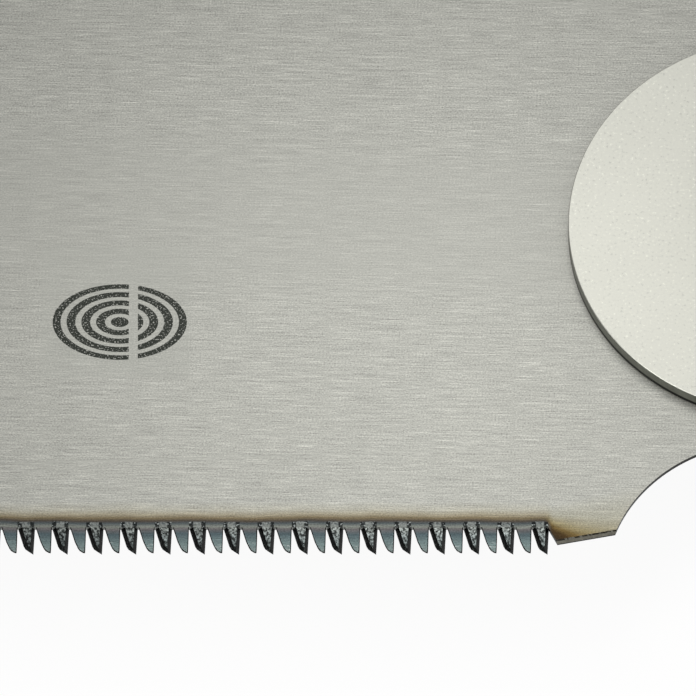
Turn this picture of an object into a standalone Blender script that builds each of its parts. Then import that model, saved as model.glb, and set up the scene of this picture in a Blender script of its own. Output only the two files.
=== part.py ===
"""Ryoba saw: a double-edged pull saw whose blade is clamped between two round-nosed steel jaws.

X runs along the saw, with the toe at -X and the handle at +X. Y runs across the blade, with the
crosscut edge at -Y and the rip edge at +Y. Z is square to the blade, and the middle plane of the
blade is Z = 0. Sizes are in millimetres and become metres when a mesh is made. Positions along X
are measured from the axis of the clamp screw.
"""

import math

import bmesh
import bpy
from mathutils import Vector

MM = 0.001

# Blade
BLADE_THICKNESS = 0.45
TOOTHED_LENGTH = 240.0
TIP_LINE_DISTANCE = 32.66
FLARE_DEG = 2.5
HEEL_FRONT = 20.6
HEEL_FLANK = 0.8
HEEL_CORNER_DEPTH = 1.06
HEEL_SLOPE_DEG = 11.3
SCALLOP_RADIUS = 14.3
SCALLOP_LEAN_DEG = 0.785
TONGUE_RADIUS = 21.46
TOE_LAND = 3.0
TOE_CORNER_RADIUS = 1.6
TOE_CORNER_DEG = 80.0

# Teeth
CROSSCUT_PITCH = 1.5
CROSSCUT_DEPTH = 2.66
SHOULDER_ALONG = 0.45
SHOULDER_HEIGHT = 0.8
CROSSCUT_TIP_ALONG = 0.93
RIP_PITCH_HEEL = 2.6
RIP_PITCH_TOE = 4.0
RIP_DEPTH_PER_PITCH = 0.62
RIP_TIP_ALONG = 0.86

# Jaws and clamp
JAW_RADIUS = 19.54
JAW_THICKNESS = 1.5
JAW_NECK_WIDTH = 18.0
JAW_FILLET_RADIUS = 10.0
TANG_END_MARGIN = 8.0
SCREW_DIAMETER = 5.0
SCREW_HEAD_DIAMETER = 13.0
SCREW_HEAD_HEIGHT = 2.8
COIN_SLOT_WIDTH = 1.8
COIN_SLOT_DEPTH = 1.3
SCREW_POINT_PROUD = 1.0
SCREW_POINT_CHAMFER = 0.6
WASHER_DIAMETER = 15.0
WASHER_THICKNESS = 1.0
LOCK_WASHER_DIAMETER = 9.2
LOCK_WASHER_THICKNESS = 1.2
LOCK_WASHER_SPLIT_DEG = 14.0
NUT_ACROSS_FLATS = 8.0
NUT_HEIGHT = 4.0
GUIDE_PIN_OFFSET = 13.2
RIVET_HEAD_WIDTH = 8.0
RIVET_HEAD_HEIGHT = 1.2
RIVET_SHOULDER = (0.86, 0.6)
RIVET_CROWN = (0.5, 0.92)

# Handle
HANDLE_LENGTH = 310.0
MOUTH_FROM_CLAMP = 38.0
HANDLE_THICKNESS = 22.0
GRIP_FRONT_WIDTH = 29.0
GRIP_WAIST_WIDTH = 27.6
GRIP_BUTT_WIDTH = 34.0
GRIP_WAIST_SHARE = 0.32
SECTION_CORNER_RADIUS = 9.0
BUTT_ROUND = 5.0
FERRULE_LENGTH = 24.0
FERRULE_WALL = 1.0
FERRULE_PLATE = 1.2
FERRULE_NOSE = 1.5
FERRULE_INSET = 0.2
CROSS_PIN_DIAMETER = 4.0
TANG_PIN_SETBACK = 8.0
TANG_PIN_SPACING = 16.0
CANE_DIAMETER = 1.8
CANE_LOOPS = 16
CANE_SPACING = 0.46
CANE_INSET = 0.1
HANG_HOLE_SETBACK = 17.0
EYELET_BORE = 8.0
EYELET_WALL = 0.7
EYELET_FLANGE_WIDTH = 2.2
EYELET_FLANGE_THICKNESS = 0.8

# Clearances
JAW_GAP = 0.2
SEAT_GAP = 0.2
HOLE_GAP = 0.2
SLOT_GAP = 0.3
STOP_GAP = 0.6
FLUSH_INSET = 0.15
CUTTER_OVERRUN = 2.0

# Facets
ARC_STEP_DEG = 4.0
HEAD_STEP_DEG = 22.5
ROD_SEGMENTS = 24
HEAD_SEGMENTS = 48
CORNER_SEGMENTS = 5
ROUND_STEPS = 4
GRIP_STATIONS = 11
SHARP_DEG = 32.0

# Positions that follow from the sizes above
jaw_inner = BLADE_THICKNESS / 2 + JAW_GAP
jaw_outer = jaw_inner + JAW_THICKNESS
washer_low = jaw_outer + SEAT_GAP
washer_high = washer_low + WASHER_THICKNESS
lock_low = washer_high + SEAT_GAP
lock_high = lock_low + LOCK_WASHER_THICKNESS
head_low = lock_high + SEAT_GAP
head_high = head_low + SCREW_HEAD_HEIGHT
nut_high = -jaw_outer - SEAT_GAP
nut_low = nut_high - NUT_HEIGHT
screw_radius = SCREW_DIAMETER / 2
slot_half_width = screw_radius + SLOT_GAP
neck_half_width = JAW_NECK_WIDTH / 2
heel_root = HEEL_FRONT + HEEL_FLANK
toe_root = heel_root + TOOTHED_LENGTH
mouth = MOUTH_FROM_CLAMP
butt = mouth + HANDLE_LENGTH
ferrule_rear = mouth + FERRULE_LENGTH
cane_radius = CANE_DIAMETER / 2
cane_pitch = CANE_DIAMETER + CANE_SPACING
cane_seat_start = ferrule_rear + SEAT_GAP
cane_start = cane_seat_start + SEAT_GAP + cane_radius
cane_seat_end = cane_start + CANE_LOOPS * cane_pitch + cane_radius + SEAT_GAP
cane_seat_inset = CANE_INSET + CANE_DIAMETER + SEAT_GAP
spigot_inset = FERRULE_INSET + FERRULE_WALL + SEAT_GAP
ferrule_pin_at = (mouth + FERRULE_PLATE + ferrule_rear) / 2
tang_pin_at = (cane_seat_end + TANG_PIN_SETBACK, cane_seat_end + TANG_PIN_SETBACK + TANG_PIN_SPACING)
tang_end = tang_pin_at[1] + TANG_END_MARGIN
hang_hole_at = butt - HANG_HOLE_SETBACK
half_thickness = HANDLE_THICKNESS / 2
cross_pin_radius = CROSS_PIN_DIAMETER / 2
eyelet_outer = EYELET_BORE / 2 + EYELET_WALL


def arc(centre, radius, start_deg, end_deg, step_deg=ARC_STEP_DEG):
    """Points along a circular arc, both ends included."""
    steps = max(2, math.ceil(abs(end_deg - start_deg) / step_deg))
    points = []
    for step in range(steps + 1):
        angle = math.radians(start_deg + (end_deg - start_deg) * step / steps)
        points.append((centre[0] + radius * math.cos(angle), centre[1] + radius * math.sin(angle)))
    return points


def circle(centre, radius):
    """Points around a full circle, the first point not repeated."""
    points = []
    for step in range(ROD_SEGMENTS):
        angle = math.tau * step / ROD_SEGMENTS
        points.append((centre[0] + radius * math.cos(angle), centre[1] + radius * math.sin(angle)))
    return points


def mirrored(points):
    """The same points on the other side of the X axis, in reverse order."""
    return [(x, -y) for x, y in reversed(points)]


def section(width, inset):
    """The flattened oval of the handle as 24 (y, z) points, drawn in by an even inset."""
    half_width = width / 2 - inset
    half_height = half_thickness - inset
    corner = SECTION_CORNER_RADIUS - inset
    points = []
    for quarter, (y_sign, z_sign) in enumerate(((1, -1), (1, 1), (-1, 1), (-1, -1))):
        y_centre = y_sign * (half_width - corner)
        z_centre = z_sign * (half_height - corner)
        for step in range(CORNER_SEGMENTS + 1):
            angle = math.radians(90 * (quarter - 1) + 90 * step / CORNER_SEGMENTS)
            points.append((y_centre + corner * math.cos(angle), z_centre + corner * math.sin(angle)))
    return points


def grip_width(at):
    """Width of the grip at a place along X: a slight waist, then a flare to the butt."""
    share = (at - cane_seat_end) / (butt - cane_seat_end)
    if share < GRIP_WAIST_SHARE:
        start, end, local = GRIP_FRONT_WIDTH, GRIP_WAIST_WIDTH, share / GRIP_WAIST_SHARE
    else:
        start, end = GRIP_WAIST_WIDTH, GRIP_BUTT_WIDTH
        local = (share - GRIP_WAIST_SHARE) / (1 - GRIP_WAIST_SHARE)
    blend = (1 - math.cos(math.pi * local)) / 2
    return start + (end - start) * blend


def material(name, colour, metallic, roughness):
    """A plain surface of one colour."""
    surface = bpy.data.materials.new(name)
    surface.use_nodes = True
    shader = surface.node_tree.nodes["Principled BSDF"]
    shader.inputs["Base Color"].default_value = (*colour, 1.0)
    shader.inputs["Metallic"].default_value = metallic
    shader.inputs["Roughness"].default_value = roughness
    return surface


def place(name, mesh, surface, at=0.0):
    """Turn a bmesh into a named object in the frame of the saw, smooth on its round sides."""
    bmesh.ops.recalc_face_normals(mesh, faces=mesh.faces)
    data = bpy.data.meshes.new(name)
    mesh.to_mesh(data)
    mesh.free()
    data.shade_smooth()
    data.set_sharp_from_angle(angle=math.radians(SHARP_DEG))
    item = bpy.data.objects.new(name, data)
    if surface is not None:
        data.materials.append(surface)
    item.location = (at * MM, 0.0, 0.0)
    item.parent = saw_frame
    bpy.context.scene.collection.objects.link(item)
    return item


def plate_mesh(outline, holes, low, high):
    """A flat plate with holes, from its outline and its two heights."""
    mesh = bmesh.new()
    edges = []
    for loop in [outline, *holes]:
        corners = [mesh.verts.new((x * MM, y * MM, low * MM)) for x, y in loop]
        for first, second in zip(corners, corners[1:] + corners[:1]):
            edges.append(mesh.edges.new((first, second)))
    if holes:
        bmesh.ops.triangle_fill(mesh, use_beauty=True, edges=edges)
    else:
        mesh.faces.new(corners)
    grown = bmesh.ops.extrude_face_region(mesh, geom=list(mesh.faces))
    top = [part for part in grown["geom"] if isinstance(part, bmesh.types.BMVert)]
    bmesh.ops.translate(mesh, verts=top, vec=(0.0, 0.0, (high - low) * MM))
    return mesh


def turned_mesh(profile, segments, closed):
    """A body turned about Z from (radius, height) points, as a ring if the profile is closed."""
    mesh = bmesh.new()
    rings = []
    for radius, height in profile:
        count = segments if radius > 0 else 1
        ring = []
        for step in range(count):
            angle = math.tau * step / segments
            spot = (radius * math.cos(angle) * MM, radius * math.sin(angle) * MM, height * MM)
            ring.append(mesh.verts.new(spot))
        rings.append(ring)
    following = rings[1:] + rings[:1] if closed else rings[1:]
    for lower, upper in zip(rings, following):
        for step in range(segments):
            ahead = step + 1
            corners = [
                lower[step % len(lower)],
                lower[ahead % len(lower)],
                upper[ahead % len(upper)],
                upper[step % len(upper)],
            ]
            mesh.faces.new(list(dict.fromkeys(corners)))
    return mesh


def split_ring_mesh(inner, outer, low, high, split_deg):
    """A square-edged ring about Z that is cut through at one place."""
    mesh = bmesh.new()
    rows = []
    for step in range(ROD_SEGMENTS + 1):
        angle = math.radians(split_deg / 2 + (360 - split_deg) * step / ROD_SEGMENTS)
        row = []
        for radius, height in ((inner, low), (outer, low), (outer, high), (inner, high)):
            spot = (radius * math.cos(angle) * MM, radius * math.sin(angle) * MM, height * MM)
            row.append(mesh.verts.new(spot))
        rows.append(row)
    for here, ahead in zip(rows, rows[1:]):
        for side in range(len(here)):
            turn = (side + 1) % len(here)
            mesh.faces.new((here[side], here[turn], ahead[turn], ahead[side]))
    mesh.faces.new(rows[0])
    mesh.faces.new(rows[-1])
    return mesh


def loft_mesh(stations):
    """A closed body through (x, section points) stations along X."""
    mesh = bmesh.new()
    rings = []
    for at, points in stations:
        rings.append([mesh.verts.new((at * MM, y * MM, z * MM)) for y, z in points])
    for here, ahead in zip(rings, rings[1:]):
        for side in range(len(here)):
            turn = (side + 1) % len(here)
            mesh.faces.new((here[side], here[turn], ahead[turn], ahead[side]))
    mesh.faces.new(rings[0])
    mesh.faces.new(rings[-1])
    return mesh


def box_mesh(low, high):
    """A box between two corners."""
    mesh = bmesh.new()
    bmesh.ops.create_cube(mesh, size=1.0)
    size = [(high[axis] - low[axis]) * MM for axis in range(3)]
    centre = [(high[axis] + low[axis]) / 2 * MM for axis in range(3)]
    bmesh.ops.scale(mesh, vec=size, verts=mesh.verts)
    bmesh.ops.translate(mesh, vec=centre, verts=mesh.verts)
    return mesh


def cut(target, name, mesh, at=0.0):
    """Take a shape out of a body."""
    cutter = place(name, mesh, None, at)
    cutter.hide_render = True
    cutter.display_type = "WIRE"
    taken = target.modifiers.new(name, "BOOLEAN")
    taken.operation = "DIFFERENCE"
    taken.solver = "EXACT"
    taken.object = cutter


def rod_profile(radius, half_length):
    """A plain rod, as a profile that begins and ends on its axis."""
    return [(0, -half_length), (radius, -half_length), (radius, half_length), (0, half_length)]


def edge_point(along, depth, side):
    """A point by one toothed edge: along its tip line from the clamp axis, and in from that line."""
    flare = math.radians(FLARE_DEG)
    out = TIP_LINE_DISTANCE - depth
    x = along * math.cos(flare) + out * math.sin(flare)
    y = out * math.cos(flare) - along * math.sin(flare)
    return (x, side * y)


def crosscut_row():
    """Crosscut teeth as (along, depth) points from toe to heel: root, shoulder, tip."""
    count = round(TOOTHED_LENGTH / CROSSCUT_PITCH)
    pitch = TOOTHED_LENGTH / count
    row = []
    for tooth in range(count):
        root = tooth * pitch - toe_root
        row.append((root, CROSSCUT_DEPTH))
        row.append((root + SHOULDER_ALONG * pitch, CROSSCUT_DEPTH * (1 - SHOULDER_HEIGHT)))
        row.append((root + CROSSCUT_TIP_ALONG * pitch, 0.0))
    row.append((-heel_root, CROSSCUT_DEPTH))
    return row


def rip_row():
    """Rip teeth as (along, depth) points from toe to heel, growing finer towards the heel."""
    count = round(2 * TOOTHED_LENGTH / (RIP_PITCH_HEEL + RIP_PITCH_TOE))
    pitches = []
    for tooth in range(count):
        share = tooth / (count - 1)
        pitches.append(RIP_PITCH_TOE + (RIP_PITCH_HEEL - RIP_PITCH_TOE) * share)
    fit = TOOTHED_LENGTH / sum(pitches)
    row = []
    root = -toe_root
    for pitch in pitches:
        row.append((root, pitch * fit * RIP_DEPTH_PER_PITCH))
        row.append((root + pitch * fit * RIP_TIP_ALONG, 0.0))
        root += pitch * fit
    row.append((-heel_root, pitches[-1] * fit * RIP_DEPTH_PER_PITCH))
    return row


def blade_side(row, side):
    """One side of the blade from the middle of the toe to the mouth of the slot in the tongue."""
    toe_corner = edge_point(-toe_root - TOE_LAND, HEEL_CORNER_DEPTH, side)
    toe_front = edge_point(-toe_root - HEEL_FLANK, HEEL_CORNER_DEPTH, side)
    centre = (toe_corner[0] + TOE_CORNER_RADIUS, toe_corner[1] - side * TOE_CORNER_RADIUS)
    points = arc(centre, TOE_CORNER_RADIUS, 180, 180 - side * TOE_CORNER_DEG)
    points.append(toe_front)
    for along, depth in row:
        points.append(edge_point(along, depth, side))
    slope = math.radians(HEEL_SLOPE_DEG)
    corner = Vector(edge_point(-HEEL_FRONT, HEEL_CORNER_DEPTH, side))
    ahead = edge_point(math.cos(slope) - HEEL_FRONT, HEEL_CORNER_DEPTH + math.sin(slope), side)
    course = (Vector(ahead) - corner).normalized()
    lean = math.radians(SCALLOP_LEAN_DEG)
    reach = TONGUE_RADIUS + SCALLOP_RADIUS
    scallop = Vector((-reach * math.sin(lean), side * reach * math.cos(lean)))
    towards = scallop - corner
    middle = course.dot(towards)
    offset = towards.length_squared - middle**2
    meeting = corner + course * (middle - math.sqrt(SCALLOP_RADIUS**2 - offset))
    points.append(tuple(corner))
    start = math.degrees(math.atan2(*reversed(meeting - scallop)))
    end = math.degrees(math.atan2(*reversed(-scallop)))
    points.extend(arc(scallop, SCALLOP_RADIUS, start, end)[:-1])
    tongue_start = math.degrees(math.atan2(scallop.y, scallop.x))
    tongue_end = side * math.degrees(math.asin(slot_half_width / TONGUE_RADIUS))
    points.extend(arc((0.0, 0.0), TONGUE_RADIUS, tongue_start, tongue_end))
    return points


def blade_outline():
    """The whole outline of the blade: crosscut side, slot around the screw, rip side."""
    slot_end = arc((0.0, 0.0), slot_half_width, -90, -270)
    return blade_side(crosscut_row(), -1) + slot_end + list(reversed(blade_side(rip_row(), 1)))


def jaw_outline():
    """A round nose about the clamp axis, filleted into a straight neck and tang."""
    reach = JAW_RADIUS + JAW_FILLET_RADIUS
    rise = neck_half_width + JAW_FILLET_RADIUS
    run = math.sqrt(reach**2 - rise**2)
    meet_deg = math.degrees(math.atan2(rise, run))
    nose = arc((0.0, 0.0), JAW_RADIUS, 180, meet_deg)
    fillet = arc((run, rise), JAW_FILLET_RADIUS, meet_deg + 180, 270)[1:]
    upper = nose + fillet + [(tang_end, neck_half_width)]
    return upper + mirrored(upper)[:-1]


def tang_holes():
    """Holes for the three pins that cross the tang."""
    holes = []
    for at in (ferrule_pin_at, *tang_pin_at):
        holes.append(circle((at, 0.0), cross_pin_radius + HOLE_GAP))
    return holes


def winding_path():
    """Centre line of the cane: turns around its seat that step along X by one pitch a turn."""
    ring = section(GRIP_FRONT_WIDTH, CANE_INSET + cane_radius)
    first = 3 * (CORNER_SEGMENTS + 1) + CORNER_SEGMENTS
    path = []
    for step in range(CANE_LOOPS * len(ring) + 1):
        y, z = ring[(first + step) % len(ring)]
        path.append(Vector((cane_start + cane_pitch * step / len(ring), y, z)))
    return path


def print_least_gap(path, per_turn):
    """Print how near the winding comes to itself, measured from point to point."""
    least = math.inf
    for first in range(len(path)):
        for second in range(first + per_turn // 2, min(len(path), first + 2 * per_turn)):
            least = min(least, (path[first] - path[second]).length)
    print(f"cane_binding: least gap to itself {least - CANE_DIAMETER:.3f} mm")


for leftover in list(bpy.data.objects):
    bpy.data.objects.remove(leftover, do_unlink=True)

toe_end = edge_point(-toe_root - TOE_LAND, HEEL_CORNER_DEPTH, 1)[0]
saw_frame = bpy.data.objects.new("saw_frame", None)
saw_frame.location = (-(toe_end + butt) / 2 * MM, 0.0, 0.0)
bpy.context.scene.collection.objects.link(saw_frame)

# Blade
blade_steel = material("blade_steel", (0.50, 0.50, 0.46), 1.0, 0.42)
blade_half = BLADE_THICKNESS / 2
place("saw_blade", plate_mesh(blade_outline(), [], -blade_half, blade_half), blade_steel)

# Jaws, with the packing piece that keeps them apart in the handle
screw_hole = circle((0.0, 0.0), screw_radius + HOLE_GAP)
guide_hole = circle((GUIDE_PIN_OFFSET, 0.0), screw_radius + HOLE_GAP)
jaw_holes = [screw_hole, guide_hole, *tang_holes()]
front_jaw_steel = material("front_jaw_steel", (0.78, 0.78, 0.72), 1.0, 0.38)
rear_jaw_steel = material("rear_jaw_steel", (0.76, 0.76, 0.71), 1.0, 0.40)
place("front_jaw", plate_mesh(jaw_outline(), jaw_holes, jaw_inner, jaw_outer), front_jaw_steel)
place("rear_jaw", plate_mesh(jaw_outline(), jaw_holes, -jaw_outer, -jaw_inner), rear_jaw_steel)
packing_front = TONGUE_RADIUS + STOP_GAP
packing_outline = [
    (packing_front, -neck_half_width),
    (tang_end, -neck_half_width),
    (tang_end, neck_half_width),
    (packing_front, neck_half_width),
]
packing_steel = material("jaw_packing_steel", (0.45, 0.45, 0.43), 1.0, 0.5)
packing = plate_mesh(packing_outline, tang_holes(), -blade_half, blade_half)
place("jaw_packing", packing, packing_steel)

# Clamp screw with its two washers and nut
head_radius = SCREW_HEAD_DIAMETER / 2
head_round = SCREW_HEAD_HEIGHT / 2
screw_point = nut_low - SCREW_POINT_PROUD
screw_profile = [
    (0, screw_point),
    (screw_radius - SCREW_POINT_CHAMFER, screw_point),
    (screw_radius, screw_point + SCREW_POINT_CHAMFER),
    (screw_radius, head_low),
    (head_radius, head_low),
]
head_round_centre = (head_radius - head_round, head_high - head_round)
screw_profile.extend(arc(head_round_centre, head_round, 0, 90, HEAD_STEP_DEG))
screw_profile.append((0, head_high))
screw_steel = material("clamp_screw_steel", (0.62, 0.61, 0.57), 1.0, 0.3)
clamp_screw = place("clamp_screw", turned_mesh(screw_profile, HEAD_SEGMENTS, False), screw_steel)
coin_slot = box_mesh(
    (-head_radius - CUTTER_OVERRUN, -COIN_SLOT_WIDTH / 2, head_high - COIN_SLOT_DEPTH),
    (head_radius + CUTTER_OVERRUN, COIN_SLOT_WIDTH / 2, head_high + CUTTER_OVERRUN),
)
cut(clamp_screw, "coin_slot", coin_slot)

bore_radius = screw_radius + HOLE_GAP
washer_profile = [
    (bore_radius, washer_low),
    (WASHER_DIAMETER / 2, washer_low),
    (WASHER_DIAMETER / 2, washer_high),
    (bore_radius, washer_high),
]
washer_steel = material("clamp_washer_steel", (0.66, 0.66, 0.63), 1.0, 0.28)
place("clamp_washer", turned_mesh(washer_profile, HEAD_SEGMENTS, True), washer_steel)
lock_ring = split_ring_mesh(
    bore_radius, LOCK_WASHER_DIAMETER / 2, lock_low, lock_high, LOCK_WASHER_SPLIT_DEG
)
lock_steel = material("lock_washer_steel", (0.40, 0.40, 0.39), 1.0, 0.4)
place("lock_washer", lock_ring, lock_steel)

nut_corner = NUT_ACROSS_FLATS / math.sqrt(3)
nut_outline = []
for side in range(6):
    angle = math.tau * side / 6
    nut_outline.append((nut_corner * math.cos(angle), nut_corner * math.sin(angle)))
nut_steel = material("clamp_nut_steel", (0.58, 0.57, 0.52), 1.0, 0.35)
place("clamp_nut", plate_mesh(nut_outline, [circle((0, 0), bore_radius)], nut_low, nut_high), nut_steel)

# Guide pin: a shouldered rivet that holds the slot of the blade straight
rivet_low = jaw_outer + SEAT_GAP
rivet_high = rivet_low + RIVET_HEAD_HEIGHT
rivet_radius = RIVET_HEAD_WIDTH / 2
rivet_top = [
    (screw_radius, rivet_low),
    (rivet_radius, rivet_low),
    (rivet_radius * RIVET_SHOULDER[0], rivet_low + RIVET_HEAD_HEIGHT * RIVET_SHOULDER[1]),
    (rivet_radius * RIVET_CROWN[0], rivet_low + RIVET_HEAD_HEIGHT * RIVET_CROWN[1]),
    (0, rivet_high),
]
guide_profile = [(radius, -height) for radius, height in reversed(rivet_top)] + rivet_top
guide_steel = material("guide_pin_steel", (0.60, 0.60, 0.57), 1.0, 0.33)
place("guide_pin", turned_mesh(guide_profile, ROD_SEGMENTS, False), guide_steel, GUIDE_PIN_OFFSET)

# Ferrule: an oval cap over the mouth of the handle, with a slot for the jaws
ferrule_stations = []
for step in range(ROUND_STEPS + 1):
    angle = math.pi / 2 * step / ROUND_STEPS
    inset = FERRULE_INSET + FERRULE_NOSE * (1 - math.sin(angle))
    ferrule_stations.append((mouth + FERRULE_NOSE * (1 - math.cos(angle)), section(GRIP_FRONT_WIDTH, inset)))
ferrule_stations.append((ferrule_rear, section(GRIP_FRONT_WIDTH, FERRULE_INSET)))
ferrule_steel = material("ferrule_steel", (0.12, 0.12, 0.125), 1.0, 0.36)
ferrule = place("ferrule", loft_mesh(ferrule_stations), ferrule_steel)
hollow = section(GRIP_FRONT_WIDTH, FERRULE_INSET + FERRULE_WALL)
hollow_ends = (mouth + FERRULE_PLATE, ferrule_rear + CUTTER_OVERRUN)
cut(ferrule, "ferrule_hollow", loft_mesh([(end, hollow) for end in hollow_ends]))
slot_half = neck_half_width + SLOT_GAP
slot_rise = jaw_outer + SLOT_GAP
jaw_slot = box_mesh(
    (mouth - CUTTER_OVERRUN, -slot_half, -slot_rise),
    (mouth + FERRULE_PLATE + CUTTER_OVERRUN, slot_half, slot_rise),
)
cut(ferrule, "ferrule_slot", jaw_slot)
pin_hole = rod_profile(cross_pin_radius + HOLE_GAP, half_thickness + CUTTER_OVERRUN)
cut(ferrule, "ferrule_pin_hole", turned_mesh(pin_hole, ROD_SEGMENTS, False), ferrule_pin_at)

# Handle: one length of wood with a spigot, a seat for the cane and a flared grip
handle_front = mouth + FERRULE_PLATE + SEAT_GAP
handle_stations = [
    (handle_front, section(GRIP_FRONT_WIDTH, spigot_inset)),
    (cane_seat_start, section(GRIP_FRONT_WIDTH, spigot_inset)),
    (cane_seat_start, section(GRIP_FRONT_WIDTH, cane_seat_inset)),
    (cane_seat_end, section(GRIP_FRONT_WIDTH, cane_seat_inset)),
]
grip_end = butt - BUTT_ROUND
for step in range(GRIP_STATIONS + 1):
    at = cane_seat_end + (grip_end - cane_seat_end) * step / GRIP_STATIONS
    handle_stations.append((at, section(grip_width(at), 0.0)))
for step in range(1, ROUND_STEPS + 1):
    angle = math.pi / 2 * step / ROUND_STEPS
    at = grip_end + BUTT_ROUND * math.sin(angle)
    handle_stations.append((at, section(grip_width(at), BUTT_ROUND * (1 - math.cos(angle)))))
handle_wood = material("handle_wood", (0.55, 0.36, 0.18), 0.0, 0.5)
handle_core = place("handle_core", loft_mesh(handle_stations), handle_wood)
tang_slot = box_mesh(
    (handle_front - CUTTER_OVERRUN, -slot_half, -slot_rise),
    (tang_end + STOP_GAP, slot_half, slot_rise),
)
cut(handle_core, "tang_slot", tang_slot)
for number, at in enumerate((ferrule_pin_at, *tang_pin_at)):
    cut(handle_core, f"pin_hole_{number}", turned_mesh(pin_hole, ROD_SEGMENTS, False), at)
recess = half_thickness - EYELET_FLANGE_THICKNESS - FLUSH_INSET - SEAT_GAP
hang_radius = eyelet_outer + HOLE_GAP
hang_flange = eyelet_outer + EYELET_FLANGE_WIDTH
recess_radius = hang_flange + HOLE_GAP
hang_top = half_thickness + CUTTER_OVERRUN
hang_hole = [
    (0, -hang_top),
    (recess_radius, -hang_top),
    (recess_radius, -recess),
    (hang_radius, -recess),
    (hang_radius, recess),
    (recess_radius, recess),
    (recess_radius, hang_top),
    (0, hang_top),
]
cut(handle_core, "hang_hole", turned_mesh(hang_hole, HEAD_SEGMENTS, False), hang_hole_at)

# Pins through the handle and the tang of the jaws
pin_steel = material("ferrule_pin_steel", (0.5, 0.5, 0.48), 1.0, 0.35)
ferrule_pin = rod_profile(cross_pin_radius, half_thickness - FERRULE_INSET - FLUSH_INSET)
place("ferrule_pin", turned_mesh(ferrule_pin, ROD_SEGMENTS, False), pin_steel, ferrule_pin_at)
tang_pin = rod_profile(cross_pin_radius, half_thickness - FLUSH_INSET)
for name, at in zip(("tang_pin_front", "tang_pin_rear"), tang_pin_at):
    pin_brass = material(f"{name}_brass", (0.72, 0.52, 0.22), 1.0, 0.35)
    place(name, turned_mesh(tang_pin, ROD_SEGMENTS, False), pin_brass, at)

# Eyelet that lines the hole for hanging the saw up
flange_outer = half_thickness - FLUSH_INSET
flange_inner = flange_outer - EYELET_FLANGE_THICKNESS
eyelet_profile = [
    (EYELET_BORE / 2, -flange_outer),
    (hang_flange, -flange_outer),
    (hang_flange, -flange_inner),
    (eyelet_outer, -flange_inner),
    (eyelet_outer, flange_inner),
    (hang_flange, flange_inner),
    (hang_flange, flange_outer),
    (EYELET_BORE / 2, flange_outer),
]
eyelet_brass = material("hang_eyelet_brass", (0.74, 0.54, 0.24), 1.0, 0.3)
place("hang_eyelet", turned_mesh(eyelet_profile, HEAD_SEGMENTS, True), eyelet_brass, hang_hole_at)

# Cane binding: one length of cane wound around the mouth of the handle
cane_path = winding_path()
print_least_gap(cane_path, len(section(GRIP_FRONT_WIDTH, 0.0)))
cane_curve = bpy.data.curves.new("cane_binding", "CURVE")
cane_curve.dimensions = "3D"
cane_curve.bevel_depth = cane_radius * MM
cane_curve.bevel_resolution = 1
cane_curve.use_fill_caps = True
cane_line = cane_curve.splines.new("POLY")
cane_line.points.add(len(cane_path) - 1)
for point, spot in zip(cane_line.points, cane_path):
    point.co = (*(spot * MM), 1.0)
cane_curve.materials.append(material("cane", (0.70, 0.53, 0.30), 0.0, 0.45))
cane_binding = bpy.data.objects.new("cane_binding", cane_curve)
cane_binding.parent = saw_frame
bpy.context.scene.collection.objects.link(cane_binding)
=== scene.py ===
"""Looks of a ryoba saw: ground blade with heat-tinted teeth, bright jaws, wood and cane handle."""

import math

import bmesh
import bpy
from bpy.props import FloatProperty, FloatVectorProperty, IntProperty, PointerProperty
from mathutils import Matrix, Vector


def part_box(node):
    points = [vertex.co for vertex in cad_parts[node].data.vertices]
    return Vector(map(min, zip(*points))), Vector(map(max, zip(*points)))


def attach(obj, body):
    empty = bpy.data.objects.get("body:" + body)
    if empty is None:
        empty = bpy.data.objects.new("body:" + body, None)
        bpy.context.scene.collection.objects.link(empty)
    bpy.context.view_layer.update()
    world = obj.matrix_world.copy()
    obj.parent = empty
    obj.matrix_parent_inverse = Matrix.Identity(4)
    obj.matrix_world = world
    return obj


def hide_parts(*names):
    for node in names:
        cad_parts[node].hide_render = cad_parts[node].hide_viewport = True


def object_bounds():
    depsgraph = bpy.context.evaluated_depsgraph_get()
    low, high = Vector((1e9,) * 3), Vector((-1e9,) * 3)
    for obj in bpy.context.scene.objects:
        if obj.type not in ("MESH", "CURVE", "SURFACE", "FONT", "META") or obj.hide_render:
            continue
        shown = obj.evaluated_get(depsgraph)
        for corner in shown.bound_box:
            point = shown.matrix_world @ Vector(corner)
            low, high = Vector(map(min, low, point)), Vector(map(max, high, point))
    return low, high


bl_info = {
    "name": "Ryoba saw",
    "version": (1, 0, 0),
    "blender": (4, 5, 0),
    "location": "3D View > Sidebar > Saw",
    "description": "Builds the visible pieces of a ryoba saw over its solids",
    "category": "Object",
}

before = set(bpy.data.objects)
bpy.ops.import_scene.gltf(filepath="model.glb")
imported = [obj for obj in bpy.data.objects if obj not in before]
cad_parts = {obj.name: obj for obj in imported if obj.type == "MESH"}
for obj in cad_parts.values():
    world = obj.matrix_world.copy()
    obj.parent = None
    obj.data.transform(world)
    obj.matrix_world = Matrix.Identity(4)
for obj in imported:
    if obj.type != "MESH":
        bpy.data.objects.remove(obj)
cad_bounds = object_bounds()
MM = 0.001


def middle(node):
    """Centre of a solid's box."""
    low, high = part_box(node)
    return (Vector(low) + Vector(high)) / 2


CLAMP_X = middle("clamp_screw").x
BLADE_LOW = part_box("saw_blade")[0][2]
BLADE_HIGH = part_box("saw_blade")[1][2]
JAW_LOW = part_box("front_jaw")[0][2]
JAW_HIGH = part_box("front_jaw")[1][2]
TANG_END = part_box("front_jaw")[1][0] - CLAMP_X
FLOOR_HEIGHT = cad_bounds[0][2]


def length(label, words, millimetres):
    """A length that a user can change."""
    return FloatProperty(name=label, description=words, default=millimetres * MM, unit="LENGTH", precision=6)


def turn(label, words, degrees):
    """An angle that a user can change."""
    return FloatProperty(name=label, description=words, default=math.radians(degrees), unit="ROTATION")


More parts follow.
